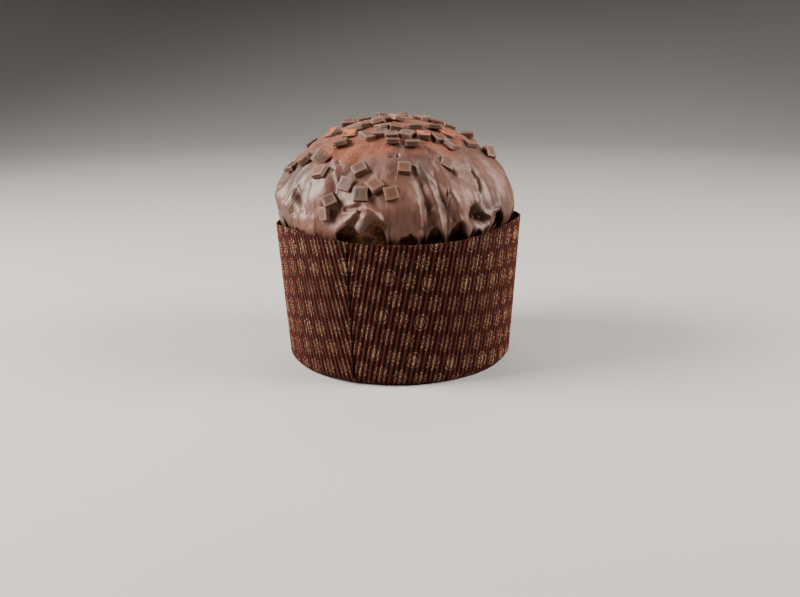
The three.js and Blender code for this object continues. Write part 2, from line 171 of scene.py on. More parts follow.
BACK_FOLDS = 16
BACK_FOLDS_FROM, BACK_FOLDS_SPAN = 102, 156

# Arches in the coat's lower edge: azimuth, half width in degrees, height
ARCHES = [
    (-62.3, 3.7, 14),
    (-51, 2.8, 10),
    (-41.4, 3.1, 8),
    (-20.5, 7.6, 14.5),
    (-9.3, 7.2, 17),
    (6.3, 5.1, 9.5),
    (18.9, 4.8, 13.5),
    (29.6, 4.9, 15.5),
    (42.8, 3, 7),
    (59, 8.2, 18),
    (74.7, 4.2, 16),
]
BACK_ARCHES = 11
BACK_ARCHES_FROM, BACK_ARCHES_SPAN = 90, 184

# Ridges and creases drawn on the coat: height, half width and the azimuths and latitudes they
# follow
RIDGES = [
    # The whipped peak: its low core, the crease over it, its lobes, its thin right edge and the
    # hollows between
    (-3.4, 6, [(-11.5, 8), (-14, 3)]),
    (-3, 1.8, [(-22, 8.5), (-18.5, 9.5), (-15, 11)]),
    (2.2, 2.2, [(-12, 11), (-16, 7), (-18, 4.5), (-21, 0)]),
    (3, 3.2, [(-11.5, 8.5), (-11.5, 5.5), (-13.5, 2), (-14, -1.5), (-15, -6.5)]),
    (1.9, 0.9, [(-10.5, 9.5), (-7.5, 6.5), (-5, 2)]),
    (-2.2, 1.6, [(-14.5, 7.5)]),
    (-2.4, 1.6, [(-16, 4), (-18, -1), (-19.5, -4.5)]),
    (-2.4, 3.6, [(-8.5, 3), (-7.5, -2.5), (-6, -9)]),
    # The smooth front panel's raised edge and the hollow beside it
    (1, 1.2, [(11.5, 9.5), (12, 4), (12, -4)]),
    (-2.2, 3, [(14.5, 10.5), (14.5, 2.5), (13.5, -6.5)]),
    # The curl at the left edge: its slit and its rim
    (-2, 1.5, [(-73.5, 12.5), (-69.5, 4)]),
    (1.4, 1.7, [(-75.5, 14), (-77.3, 10.5), (-77.6, 7), (-76.3, 3.5), (-73.5, 1), (-70, 0)]),
    # Left side
    (-2.2, 2, [(-54.5, 18), (-51, 13), (-47.5, 8), (-44, 2)]),
    (2, 2.8, [(-60, 6.5), (-55, 1), (-50.5, -5), (-49, -10)]),
    (1.3, 1.9, [(-45, 46), (-35.5, 38), (-30, 29.5), (-27, 23)]),
    (-1.5, 1.8, [(-45, 21), (-44, 12), (-39.5, 3)]),
    (-1.6, 1.1, [(-33, 37)]),
    (-1.6, 1.1, [(-33, 32.5)]),
    # Ribbons that run down the right side into drips
    (2, 2.8, [(14, 36), (16, 27), (18, 17.5), (20, 6), (21.5, -4.5), (24, -15.5)]),
    (-2.2, 3.2, [(14, 23), (15, 17), (17, 10.5)]),
    (1.3, 1.5, [(25.5, 17), (27.5, 9), (29.5, -0.5), (32, -8.5)]),
    (1.6, 2.8, [(25, 36), (26, 26), (27.5, 16), (29, 7.5)]),
    (-1.4, 1.8, [(21, 29), (22.5, 18.5), (24.5, 9.5)]),
    (-1.5, 1.6, [(23.5, 44.5), (30, 40), (33, 33), (33.5, 30)]),
    (-1.2, 0.8, [(47.5, 30), (47.5, 26)]),
    (-1.2, 0.8, [(48, 24), (47, 19), (43, 13)]),
    # The open hollow low on the right, its lip and the bulges under it
    (1.8, 2, [(43.5, 15), (42, 8.5), (45, 2), (49.5, -4.5)]),
    (-6.5, 2.6, [(39, 4.5), (38.5, -1), (45, -4.5)]),
    (1.8, 1.6, [(48.5, -2.5), (51.5, 0.5), (56.5, 1), (61, -3), (63, -8.5)]),
    (2.4, 4, [(35, -12.5), (38, -8.5)]),
    (3, 3.8, [(45, -11.5), (49, -9.5)]),
    # A nick under the crown's front squares
    (-2, 1.5, [(-1.5, 44.3), (3, 44.3)]),
]
BACK_RIDGES = 34
BACK_RIDGES_FROM, BACK_RIDGES_SPAN = 92, 182

# Low lobes of chocolate that ran down the sides, over the folds and ridges
LOBES = 60
LUMPS = 0.8

# Chocolate squares
SQUARE = 9.4
SQUARE_THICKNESS = 3.4
SQUARE_SUNK = 0.9
SQUARE_BEVEL = 0.4
SQUARE_TAPER = 0.05
SQUARE_DENTS = 0.35
WORN_EDGE = 0.9
CROWN_COUNT = 40
CROWN_REACH = 47.0
CROWN_X = 3.0
CROWN_REAR_DEG = 112
BACK_COUNT = 12
DENT_SEED = 1
BACK_SQUARES_FROM, BACK_SQUARES_SPAN = 96, 168

# Squares on the side that faces the camera: azimuth, latitude, spin, lean of the upper edge and
# sway of the left edge
FRONT_SQUARES = [
    (-91.5, 45.5, 10, 0, 0),
    (-74, 29.5, 30, -20, 0),
    (-72, 57, 24, 14, 0),
    (-61.5, 36, -40, -8, -15),
    (-51, 65.5, 10, -12, -10),
    (-47.5, 71, 60, -10, 0),
    (-45, 37.5, -12, 25, 32),
    (-46, 59.5, 35, 4, 12),
    (-42.5, 51, -50, -20, -10),
    (-40, 29.5, 8, -8, -12),
    (-32.5, 4.5, 6, 6, -22),
    (-30, 13, 40, -30, 10),
    (-28, 74.5, 20, -20, -20),
    (-26, 82, 30, 0, 0),
    (-24, 24.5, -12, 6, 0),
    (-23.5, 58, 58, -14, 20),
    (-19, 35, 38, -10, -8),
    (-15, 18.5, 2, 4, 0),
    (-13.5, 68.5, 50, -16, -10),
    (-13, 62.5, 5, -4, 0),
    (-9, 24.5, 42, -16, 0),
    (-1.5, 61, 12, -8, 0),
    (-1, 19, 14, 0, 6),
    (0, 54, 3, -30, 0),
    (5, 67, -2, -16, 10),
    (6, 34.5, -6, -4, 0),
    (13.5, 60.5, -38, -8, 0),
    (15, 52, -18, -28, 0),
    (17, 80.5, 10, -10, 20),
    (28.5, 58, -24, -10, 0),
    (30.5, 67.5, -28, -18, 0),
    (31.5, 36, -38, 8, 0),
    (41.5, 54.5, -12, -6, 0),
    (46, 48, 2, -6, 14),
    (57.5, 65, -50, -20, 10),
    (59.5, 57, 20, 0, 0),
    (69.5, 46, -40, -14, 0),
    (76.5, 36, -35, 12, -20),
    (95, 50, -12, -30, 0),
    (100, 60, 5, 0, 0),
    (104.5, 65.5, -15, -4, 0),
    (109.5, 73, 20, -10, 0),
    (110, 87, 30, 0, 0),
]

# Print on the paper's flat sheet: steps of its rows and columns, and half a flower's size
PRINT_ROW = 13.5
PRINT_COLUMN = 13.0
FLOWER_ACROSS = 4.8
FLOWER_ALONG = 5.8
PETALS = 8.0
SHEET_UNIT = 100.0

# Studio and camera, in metres
STUDIO_R = 2.4
STUDIO_HEIGHT = 2.4
STUDIO_BEND = 1.2
SENSOR_MM = 36
FOCAL_PX = 1022
PHOTO_WIDTH_PX = 800
CAMERA_AT = (0.0004, -0.703, 0.238)
CAMERA_DOWN_DEG = 15.9
CAMERA_ROLL_DEG = -0.82

# Factors that scatter the numbers of chance
CHANCE_BY_INDEX = 12.9898
CHANCE_BY_USE = 78.233
CHANCE_SPREAD = 43758.5453


def chance(index, use):
    """The same number from 0 to 1 each time for a given piece and a given use of it."""
    x = math.sin(index * CHANCE_BY_INDEX + use * CHANCE_BY_USE) * CHANCE_SPREAD
    return x - math.floor(x)


def smooth(x):
    x = np.clip(x, 0, 1)
    return x * x * (3 - 2 * x)


def power(x, n):
    return np.sign(x) * np.abs(x) ** n


def away_from(a, b):
    """The shortest way round from one azimuth to another, in radians from -pi to pi."""
    return np.arctan2(np.sin(a - b), np.cos(a - b))


def round_waves(azimuth, waves):
    return sum(high * np.sin(count * azimuth + start) for high, count, start in waves)


def at_azimuth(azimuth, radius, z, x=0.0):
    return np.stack([x + radius * np.sin(azimuth), -radius * np.cos(azimuth), z + 0 * azimuth], -1)


# Mesh helpers


def deselect_all():
    bpy.ops.object.select_all(action="DESELECT")


def named(name):
    """The object that an operator has just made, renamed."""
    made = bpy.context.active_object
    made.name = name
    made.data.name = name
    return made


def points_of(piece):
    """The piece's vertices, one row each."""
    flat = np.empty(len(piece.data.vertices) * 3)
    piece.data.vertices.foreach_get("co", flat)
    return flat.reshape(-1, 3)


def move_points(piece, points_mm):
    piece.data.vertices.foreach_set("co", (np.asarray(points_mm) * MM).ravel())
    piece.data.update()


def apply_modifier(piece, kind, **settings):
    bpy.context.view_layer.objects.active = piece
    modifier = piece.modifiers.new(kind.title(), kind)
    for key, value in settings.items():
        setattr(modifier, key, value)
    bpy.ops.object.modifier_apply(modifier=modifier.name)


def store(piece, name, values):
    """Keeps one number for each vertex, for the piece's material to read."""
    attribute = piece.data.attributes.new(name, "FLOAT", "POINT")
    attribute.data.foreach_set("value", np.asarray(values, dtype=np.float32))


def shade(piece, angle_deg=None):
    deselect_all()
    piece.select_set(True)
    bpy.context.view_layer.objects.active = piece
    if angle_deg is None:
        bpy.ops.object.shade_smooth()
    else:
        bpy.ops.object.shade_smooth_by_angle(angle=math.radians(angle_deg))


def finish(piece, node, *materials):
    piece.data.materials.clear()
    for material in materials:
        piece.data.materials.append(material)
    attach(piece, "root")
    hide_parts(node)


# Material helpers


def add_node(tree, kind, inputs=None, **settings):
    """A shader node with its settings, and its inputs given as sockets or as values."""
    made = tree.nodes.new(kind)
    for key, value in settings.items():
        setattr(made, key, value)
    for socket, value in (inputs or {}).items():
        if isinstance(value, bpy.types.NodeSocket):
            tree.links.new(value, made.inputs[socket])
        else:
            made.inputs[socket].default_value = value
    return made


def calc(tree, operation, *values):
    inputs = dict(enumerate(values))
    return add_node(tree, "ShaderNodeMath", inputs, operation=operation).outputs[0]


def ramp(tree, value, low, high):
    """0 at low and below, 1 at high and above, smooth between."""
    inputs = {"Value": value, "From Min": low, "From Max": high}
    made = add_node(tree, "ShaderNodeMapRange", inputs, interpolation_type="SMOOTHSTEP")
    return made.outputs[0]


def times(tree, a, b):
    return calc(tree, "MULTIPLY", a, b)


def length(tree, a, b):
    return calc(tree, "SQRT", calc(tree, "ADD", times(tree, a, a), times(tree, b, b)))


def mixed(tree, share, low, high):
    inputs = {"Factor": share, 6: low, 7: high}
    return add_node(tree, "ShaderNodeMix", inputs, data_type="RGBA").outputs[2]


def grain(tree, coords, size_mm, detail=2.0, rough=0.5):
    """Soft noise from 0 to 1 whose lumps are about size_mm across."""
    inputs = {"Vector": coords, "Scale": 1 / (size_mm * MM), "Detail": detail, "Roughness": rough}
    return add_node(tree, "ShaderNodeTexNoise", inputs).outputs["Fac"]


def stored(tree, name):
    return add_node(tree, "ShaderNodeAttribute", attribute_name=name).outputs["Fac"]


def object_coords(tree):
    return add_node(tree, "ShaderNodeTexCoord").outputs["Object"]


def new_material(name):
    material = bpy.data.materials.new(name)
    material.use_nodes = True
    tree = material.node_tree
    return material, tree, tree.nodes["Principled BSDF"]


def bump(tree, surface, height, distance_mm):
    inputs = {"Height": height, "Distance": distance_mm * MM, "Strength": 1.0}
    made = add_node(tree, "ShaderNodeBump", inputs)
    tree.links.new(made.outputs["Normal"], surface.inputs["Normal"])


def srgb(red, green, blue):
    """A colour as seen on screen, 0 to 255, as the linear one that a shader takes."""
    share = [v / 255 for v in (red, green, blue)]
    linear = [v / 12.92 if v <= 0.04045 else ((v + 0.055) / 1.055) ** 2.4 for v in share]
    return (*linear, 1.0)


# Dome, coat and bread


def on_dome(azimuth, lat, lift):
    """Points of the plain dome, moved lift mm along its outward normals, and those normals."""
    across = np.maximum(0, np.cos(lat))
    rise = np.sin(lat)
    z = WIDEST_Z + DOME_RISE * power(rise, DOME_POWER)
    at = at_azimuth(azimuth, DOME_R * power(across, DOME_POWER), z, DOME_X)
    flatter = 2 - DOME_POWER
    flat_normal = power(across, flatter) / DOME_R
    normal = at_azimuth(azimuth, flat_normal, power(rise, flatter) / DOME_RISE)
    normal /= np.linalg.norm(normal, axis=-1, keepdims=True)
    return at + normal * np.asarray(lift)[..., None], normal


def lat_of_height(z):
    return np.arcsin(power(np.clip((z - WIDEST_Z) / DOME_RISE, -1, 1), 1 / DOME_POWER))


def back_folds():
    return [
        (
            BACK_FOLDS_FROM + BACK_FOLDS_SPAN * (i + 0.6 * chance(i, 1)) / BACK_FOLDS,
            -6 + 44 * chance(i, 2),
            12 + 13 * chance(i, 3),
            4.5 + 3 * chance(i, 4),
            70 + 40 * chance(i, 5),
            -2.4 if i % 5 == 4 else 1.5 + 2 * chance(i, 6),
        )
        for i in range(BACK_FOLDS)
    ]


def back_arches():
    return [
        (
            BACK_ARCHES_FROM + BACK_ARCHES_SPAN * (i + 0.7 * chance(i, 7)) / BACK_ARCHES,
            3 + 4 * chance(i, 8),
            5 + 8 * chance(i, 9),
        )
        for i in range(BACK_ARCHES)
    ]


def along_and_across(azimuth, lat, az_deg, lat_deg, turn_deg):
    """How far points lie from a place on the dome, along and across a line turned from level."""
    east = away_from(azimuth, math.radians(az_deg)) * DOME_R * np.cos(lat)
    north = (lat - math.radians(lat_deg)) * DOME_RISE
    c, s = math.cos(math.radians(turn_deg)), math.sin(math.radians(turn_deg))
    return east * c + north * s, north * c - east * s


def relief(azimuth, lat):
    """Height of the poured coat over the plain dome, as in its solid."""
    low = 1 - smooth((lat - math.radians(10)) / math.radians(60))
    lumps = 0.7 * np.sin(9.6 * lat + 4 * np.sin(azimuth)) * np.cos(3 * azimuth + 1)
    height = low * round_waves(azimuth, COAT_RUNS) + lumps * np.cos(lat)
    for az, at_lat, along, wide, turn, high in FOLDS + back_folds():
        u, v = along_and_across(azimuth, lat, az, at_lat, turn)
        height = height + high * np.exp(-((u / along) ** 2) - (v / wide) ** 2)
    return np.maximum(THINNEST_COAT - COAT, height)


def back_ridges():
    """Ridges and creases of the hidden side, which wander downhill by chance."""
    lines = []
    for i in range(BACK_RIDGES):
        az = BACK_RIDGES_FROM + BACK_RIDGES_SPAN * (i + 0.7 * chance(i, 51)) / BACK_RIDGES
        lat = 6 + 34 * chance(i, 52)
        line = [(az, lat)]
        for k in range(1, 4):
            az += 4 * (chance(i + 50 * k, 53) - 0.5)
            lat -= 7 + 4 * chance(i, 54)
            line.append((az, lat))
        high = -1.5 - chance(i, 55) if i % 3 == 0 else 1 + 1.4 * chance(i, 55)
        lines.append((high, 1.4 + 2 * chance(i, 56), line))
    return lines


def from_line(azimuth, lat, line):
    """Distance over the dome, in mm, from points to a line through azimuths and latitudes."""
    nearest = np.full(azimuth.shape, 1e3)
    ends = line[1:] or line
    for (az_a, lat_a), (az_b, lat_b) in zip(line, ends):
        wide = DOME_R * math.cos(math.radians((lat_a + lat_b) / 2))
        x = away_from(azimuth, math.radians(az_a)) * wide
        y = (lat - math.radians(lat_a)) * DOME_RISE
        end_x = math.radians(az_b - az_a) * wide
        end_y = math.radians(lat_b - lat_a) * DOME_RISE
        share = np.clip((x * end_x + y * end_y) / max(1e-6, end_x * end_x + end_y * end_y), 0, 1)
        nearest = np.minimum(nearest, np.hypot(x - share * end_x, y - share * end_y))
    return nearest


def fine_relief(azimuth, lat):
    """What the poured coat shows over its solid: ridges, creases, lobes and soft lumps."""
    lobes = np.zeros_like(azimuth)
    for i in range(LOBES):
        az, at_lat = 360 * chance(i, 31), -14 + 58 * chance(i, 32) ** 1.2
        u, v = along_and_across(azimuth, lat, az, at_lat, 82 + 22 * (chance(i, 33) - 0.5))
        along = 9 + 13 * chance(i, 34)
        wide = 4 + 4.5 * chance(i, 35)
        lobe = np.maximum(0, 1 - (u / along) ** 2 - (v / wide) ** 2)
        lobes = np.maximum(lobes, (0.3 + 0.6 * chance(i, 36)) * lobe**1.5)
    ridges = np.zeros_like(azimuth)
    for high, wide, line in RIDGES + back_ridges():
        ridges += high * np.exp(-((from_line(azimuth, lat, line) / wide) ** 2))
    at, _ = on_dome(azimuth, lat, 0 * lat)
    lumps = [noise.noise(Vector(p) * 0.09) + 0.45 * noise.noise(Vector(p) * 0.21) for p in at]
    return lobes * np.cos(lat) ** 0.5 + ridges + LUMPS * np.array(lumps)


def coat_edge_height(azimuth):
    bare = np.zeros_like(azimuth)
    for az, half, high in ARCHES + back_arches():
        off = away_from(azimuth, math.radians(az)) / math.radians(half)
        bare = np.maximum(bare, high * np.maximum(0, 1 - np.abs(off) ** 2.4) ** 0.5)
    ragged = round_waves(azimuth, RAGGED_EDGE) * np.minimum(1, bare / 4)
    return COAT_EDGE_Z + EDGE_WANDER * np.sin(11 * azimuth + 0.4) + bare + ragged


def wall_radius(z):
    tuck = FOOT_TUCK * np.maximum(0, 1 - z / FOOT_TURN)
    return FOOT_R + (RIM_R - FOOT_R) * z / MOULD_H - tuck


def cavity_radius(z):
    return wall_radius(z) - FLUTE_DEPTH - PAPER


def keep_in_mould(at):
    """Draws in what would touch the paper's inside, below the rim and a little over it."""
    over = np.maximum(0, at[..., 2] - MOULD_H)
    most = cavity_radius(at[..., 2] - over) - COAT_CLEAR + LEAN_OVER_RIM * over
    radius = np.hypot(at[..., 0], at[..., 1])
    share = np.minimum(1, most / np.maximum(radius, 1e-6))
    return np.stack([at[..., 0] * share, at[..., 1] * share, at[..., 2]], -1)


def cocoa_share(azimuth, lat):
    """Where the cocoa that fell on the crown lies: 1 on top, 0 low on the sides."""
    lowest = COCOA_LOWEST + round_waves(azimuth, COCOA_EDGE)
    for az, change in COCOA_TONGUES:
        off = away_from(azimuth, math.radians(az)) / TONGUE_WIDTH
        lowest = lowest + change * np.exp(-(off**2))
    return smooth((np.degrees(lat) - lowest + 14) / COCOA_FADE)


def coat_piece():
    rings = INSIDE_ROWS + LIP_ROWS + OUTSIDE_ROWS
    deselect_all()
    bpy.ops.mesh.primitive_uv_sphere_add(segments=COAT_COLUMNS, ring_count=rings, radius=DOME_R * MM)
    coat = named("poured_chocolate_coat")
    ball = points_of(coat)
    azimuth = np.arctan2(ball[:, 0], -ball[:, 1])
    ball_lat = np.arcsin(np.clip(ball[:, 2] / (DOME_R * MM), -1, 1))
    row = np.rint((ball_lat / math.pi + 0.5) * rings)

    edge = coat_edge_height(azimuth)
    step = 1e-3
    change = coat_edge_height(azimuth + step) - coat_edge_height(azimuth - step)
    slope = change / (2 * step * DOME_R)
    steep = np.sqrt(1 + slope**2)
    round_edge = COAT / 2
    low = lat_of_height(edge + round_edge)
    lip = np.clip((row - INSIDE_ROWS) / LIP_ROWS, 0, 1) * math.pi
    inside = np.clip((INSIDE_ROWS - row) / INSIDE_ROWS, 0, 1)
    outside = np.clip((row - INSIDE_ROWS - LIP_ROWS) / OUTSIDE_ROWS, 0, 1)
    share = np.where(row < INSIDE_ROWS, inside, outside)
    lat = low + share * (math.pi / 2 - low)
    from_edge = (lat - low) * DOME_RISE / steep
    bead = BEAD_HEIGHT * np.exp(-((from_edge / BEAD_WIDTH) ** 2)) * smooth((edge - COAT_EDGE_Z) / 4)
    outer = relief(azimuth, lat) + fine_relief(azimuth, lat) + bead
    through = np.minimum(0, outer + COAT - THINNEST_COAT)
    lift = -COAT + through + (outer + COAT - through) * (1 - np.cos(lip)) / 2
    below = round_edge * np.sin(lip)
    at, _ = on_dome(azimuth + below * slope / steep / DOME_R, lat, lift)
    at[:, 2] -= below / steep
    at = np.where((row <= INSIDE_ROWS)[:, None], at, keep_in_mould(at))
    move_points(coat, at)
    store(coat, "cocoa", cocoa_share(azimuth, lat))
    shade(coat)
    return coat


def bread_piece():
    """A copy of the bread's solid, subdivided, with a torn and pitted crust."""
    deselect_all()
    solid = frame["nodes"]["bread"]
    solid.select_set(True)
    bpy.context.view_layer.objects.active = solid
    bpy.ops.object.duplicate()
    bread = named("bread_crust")
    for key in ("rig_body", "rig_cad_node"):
        del bread[key]
    bread.parent = None
    bread.matrix_world = Matrix.Identity(4)
    bpy.ops.object.mode_set(mode="EDIT")
    bpy.ops.mesh.select_all(action="SELECT")
    bpy.ops.mesh.remove_doubles(threshold=1e-5)
    bpy.ops.mesh.subdivide(number_cuts=CRUST_CUTS)
    bpy.ops.object.mode_set(mode="OBJECT")
    at = points_of(bread) / MM
    middle = np.array([DOME_X, 0, WIDEST_Z - 8])
    out = at - middle
    out /= np.linalg.norm(out, axis=-1, keepdims=True)
    pits = [noise.noise(Vector(p) * 0.35) + 0.6 * noise.noise(Vector(p) * 0.9) for p in at]
    rough = 0.45 + 0.5 * np.clip(pits, -0.8, 1)
    azimuth = np.arctan2(at[:, 0] - DOME_X, -at[:, 1])
    lat = lat_of_height(at[:, 2])
    dent = -np.minimum(0, relief(azimuth, lat) + fine_relief(azimuth, lat) + COAT - 1.2)
    dent = dent * smooth((at[:, 2] - CRUST_DENTS_Z) / 8)
    shrink = smooth((at[:, 2] - CRUST_ROUGH_Z) / 8) * rough + 1.2 * dent
    move_points(bread, at - out * shrink[:, None])
    shade(bread)
    return bread


# Chocolate squares


def crown_places():
    """Behind the placed ones, the crown's squares follow a sunflower spiral that chance loosens."""
    places = []
    for i in range(CROWN_COUNT):
        reach = CROWN_REACH * math.sqrt((i + 0.5) / CROWN_COUNT) + 5 * (chance(i, 11) - 0.5)
        turn = i * GOLDEN_ANGLE + 0.5 * (chance(i, 12) - 0.5)
        x, y = CROWN_X + reach * math.sin(turn) - DOME_X, reach * math.cos(turn)
        az = math.degrees(math.atan2(x, -y))
        lat = math.degrees(math.acos(math.hypot(x, y) / DOME_R))
        lean, sway = 36 * (chance(i, 14) - 0.7), 30 * (chance(i, 19) - 0.5)
        places.append((az, lat, 180 * chance(i, 13), lean, sway))
    return [place for place in places if abs(place[0]) > CROWN_REAR_DEG]


def back_places():
    return [
        (
            BACK_SQUARES_FROM + BACK_SQUARES_SPAN * (i + 0.7 * chance(i, 15)) / BACK_COUNT,
            12 + 36 * chance(i, 16),
            180 * chance(i, 17),
            30 * (chance(i, 18) - 0.5),
            20 * (chance(i, 20) - 0.5),
        )
        for i in range(BACK_COUNT)
    ]


def square_places():
    """Each square's sides, its thickness and the turn and place that set it on the coat."""
    places = FRONT_SQUARES + crown_places() + back_places()
    for i, (az, lat, spin, lean, sway) in enumerate(places):
        side = SQUARE * (0.9 + 0.16 * chance(i, 21))
        broken = 0.6 if i >= len(FRONT_SQUARES) and chance(i, 22) < 0.2 else 1.0
        thick = SQUARE_THICKNESS * (0.85 + 0.3 * chance(i, 23))
        lifted = abs(math.sin(math.radians(lean))) + abs(math.sin(math.radians(sway)))
        stand = 0.5 * thick - SQUARE_SUNK + 0.25 * side * lifted
        azimuth, latitude = np.array([math.radians(az)]), np.array([math.radians(lat)])
        at, normal = on_dome(azimuth, latitude, relief(azimuth, latitude) + stand)
        normal = Vector(normal[0])
        along = Vector((math.cos(azimuth[0]), math.sin(azimuth[0]), 0))
        basis = Matrix((along, normal.cross(along), normal)).transposed().to_4x4()
        turned = (
            Matrix.Rotation(math.radians(sway), 4, "Y")
            @ Matrix.Rotation(math.radians(lean), 4, "X")
            @ Matrix.Rotation(math.radians(spin), 4, "Z")
        )
        dust = cocoa_share(azimuth, latitude)[0]
        yield (side, side * broken, thick), Matrix.Translation(at[0]) @ basis @ turned, dust


def square_pieces():
    """All squares as one piece: worn little blocks, set on the coat as they fell."""
    noise.seed_set(DENT_SEED)
    made = []
    attributes = {"tone": [], "cocoa": [], "edge": []}
    for i, (sides, placed, dust) in enumerate(square_places()):
        deselect_all()
        bpy.ops.mesh.primitive_cube_add(size=1)
        square = named(f"chocolate_square_{i}")
        bpy.ops.object.mode_set(mode="EDIT")
        bpy.ops.mesh.select_all(action="SELECT")
        bpy.ops.transform.resize(value=sides)
        bpy.ops.mesh.subdivide(number_cuts=3)
        bpy.ops.object.mode_set(mode="OBJECT")
        apply_modifier(square, "BEVEL", width=SQUARE_BEVEL, segments=2, limit_method="ANGLE")
        body = points_of(square)
        near_edge = np.sort(np.array(sides) / 2 - np.abs(body), axis=1)[:, 1]
        own = Vector((i * 7.3, 0, 0))
        dents = np.array([noise.noise_vector(Vector(p) * 0.28 + own) for p in body])
        taper = 1 - SQUARE_TAPER * (body[:, 2:3] / sides[2] + 0.5)
        body = np.hstack([body[:, :2] * taper, body[:, 2:3]]) + SQUARE_DENTS * dents
        move_points(square, body / MM)
        square.data.transform(placed)
        square.data.transform(Matrix.Scale(MM, 4))
        attributes["tone"].append(np.full(len(body), chance(i, 41)))
        attributes["cocoa"].append(np.full(len(body), dust * (chance(i, 42) > 0.6)))
        attributes["edge"].append(1 - smooth(near_edge / WORN_EDGE))
        made.append(square)

    deselect_all()
    for square in made:
        square.select_set(True)
    bpy.context.view_layer.objects.active = made[0]
    bpy.ops.object.join()
    squares = named("chocolate_squares")
    for name, values in attributes.items():
        store(squares, name, np.concatenate(values))
    shade(squares, 35)
    return squares


# Paper mould

HALF_ANGLE = math.atan((RIM_R - FOOT_R) / MOULD_H)
SLANT_FOOT = FOOT_R / math.sin(HALF_ANGLE)
SLANT_RIM = RIM_R / math.sin(HALF_ANGLE)


def rim_lift(azimuth):
    return RIM_MEAN + sum(
        high * np.cos(waves * (azimuth - math.radians(crest))) for high, waves, crest in RIM_WAVES
    )


def on_sheet(x, up, flute, lining=0.0):
    """Points of the rolled sheet at x across it and a share up of the wall's height."""
    slant = SLANT_FOOT + up * (SLANT_RIM - SLANT_FOOT)
    turn = np.arcsin(np.clip(x / slant, -1, 1)) / math.sin(HALF_ANGLE)
    azimuth = math.radians(SEAM_DEG) + math.pi + turn
    z = up * MOULD_H
    firm = np.minimum(1, z / FOOT_TURN)
    lap = LAP_LIFT * smooth(1 - (math.pi - turn) / math.radians(LAP_SPREAD_DEG))
    under = 0.55 * smooth((-turn - math.pi) / math.radians(2) + 0.5)
    radius = wall_radius(z) - FLUTE_DEPTH + firm * (flute * FLUTE_DEPTH + lap - under) - lining
    return at_azimuth(azimuth, radius, up * (MOULD_H + rim_lift(azimuth)))


def mould_wall_piece():
    """The fluted paper, outside and inside, with its straight seam edge lapped over the other end."""
    deselect_all()
    bpy.ops.mesh.primitive_grid_add(x_subdivisions=MOULD_COLUMNS, y_subdivisions=MOULD_ROWS, size=2)
    wall = named("paper_mould_wall")
    outside = len(wall.data.vertices)
    across = (points_of(wall)[:, 0] + 1) / 2
    rise = (points_of(wall)[:, 1] + 1) / 2
    move_points(wall, points_of(wall) / MM * [RIM_R * 3, MOULD_H / 2, 0])
    apply_modifier(wall, "SOLIDIFY", thickness=PAPER * MM, offset=-1, use_even_offset=False)

    upper = math.sin(math.pi * math.sin(HALF_ANGLE))
    lower = math.sin((math.pi + math.radians(UNDERLAP_DEG)) * math.sin(HALF_ANGLE))
    x = across * SLANT_RIM * (upper + lower) - SLANT_RIM * lower
    half = np.where(x > 0, upper, lower)
    start = np.clip((np.abs(x) / half - SLANT_FOOT) / (SLANT_RIM - SLANT_FOOT), 0, 1)
    up = start + (1 - start) * (0.35 * rise + 0.65 * rise**2)
    wobble = 0.16 * np.sin(up * 9 + 2.1 * np.floor(x / FLUTE_PITCH)) * FLUTE_PITCH / math.pi
    wave = (0.5 + 0.5 * np.cos(2 * math.pi * (x + wobble) / FLUTE_PITCH)) ** 1.5
    outer = on_sheet(x, up, wave)
    inner = on_sheet(x, up, 0 * x, lining=0.35)
    move_points(wall, np.vstack([outer, inner]))

    slant = SLANT_FOOT + up * (SLANT_RIM - SLANT_FOOT)
    along = np.sqrt(np.maximum(0, slant**2 - x**2)) - SLANT_FOOT
    sheet = np.tile(np.stack([x, along], -1) / SHEET_UNIT, (2, 1))
    corner = np.empty(len(wall.data.loops), dtype=np.int32)
    wall.data.loops.foreach_get("vertex_index", corner)
    wall.data.uv_layers[0].data.foreach_set("uv", sheet[corner].ravel())
    shade(wall, 50)
    for face in wall.data.polygons:
        lining, cut = min(face.vertices) >= outside, max(face.vertices) >= outside
        face.material_index = 1 if lining else 2 if cut else 0
    return wall


def mould_base_piece():
    """The paper disc under the bread, its edge just inside the wall's foot."""
    deselect_all()
    radius = (FOOT_R - FOOT_TUCK - FLUTE_DEPTH) * MM
    thick = BASE_THICKNESS * MM
    bpy.ops.mesh.primitive_cylinder_add(
        vertices=180, radius=radius, depth=thick, location=(0, 0, thick / 2)
    )
    base = named("paper_mould_base")
    bpy.ops.object.transform_apply(location=True, rotation=False, scale=False)
    apply_modifier(base, "BEVEL", width=0.3 * MM, segments=2, limit_method="ANGLE")
    shade(base, 40)
    return base


# Materials


